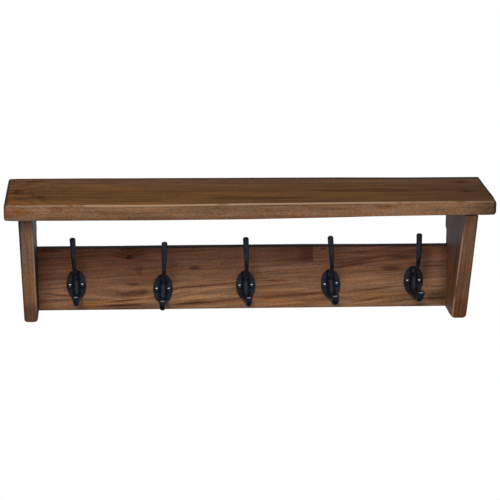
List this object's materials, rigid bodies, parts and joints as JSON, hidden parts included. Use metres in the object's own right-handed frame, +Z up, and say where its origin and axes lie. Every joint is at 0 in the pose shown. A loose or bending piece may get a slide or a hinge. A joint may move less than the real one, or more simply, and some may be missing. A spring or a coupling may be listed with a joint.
{
  "type": "wall coat rack",
  "caption": "Rustic wall coat rack: a thick plank shelf on tapered side brackets, with a rail of cast iron double hooks between them.",
  "frame": {"origin": "on the wall plane, half way along the shelf and half way up the back face of the hook rail", "axes": "+X along the shelf to the right as seen from the front, +Y into the wall (the front faces -Y), +Z up"},
  "size_m": [0.914, 0.19, 0.262],
  "materials": {
    "shelf_wood": "worn wax",
    "bracket_wood": "worn wax",
    "rail_wood": "worn wax",
    "hook_iron": "black satin",
    "screw_black": "black satin",
    "plug_wood": "waxed",
    "dowel_wood": "raw",
    "plain_steel": "zinc plated"
  },
  "bodies": {
    "root": {"shelf_board": "shelf_wood", "hook_rail": "rail_wood", "coat_hook_1": "hook_iron", "hook_screws_1": "screw_black", "coat_hook_2": "hook_iron", "hook_screws_2": "screw_black", "coat_hook_3": "hook_iron", "hook_screws_3": "screw_black", "coat_hook_4": "hook_iron", "hook_screws_4": "screw_black", "coat_hook_5": "hook_iron", "hook_screws_5": "screw_black", "left_bracket": "bracket_wood", "left_shelf_screws": "plain_steel", "left_screw_plugs": "plug_wood", "left_rail_dowels": "dowel_wood", "left_hanger_plate": "plain_steel", "left_hanger_screws": "plain_steel", "right_bracket": "bracket_wood", "right_shelf_screws": "plain_steel", "right_screw_plugs": "plug_wood", "right_rail_dowels": "dowel_wood", "right_hanger_plate": "plain_steel", "right_hanger_screws": "plain_steel"}
  },
  "joints": []
}
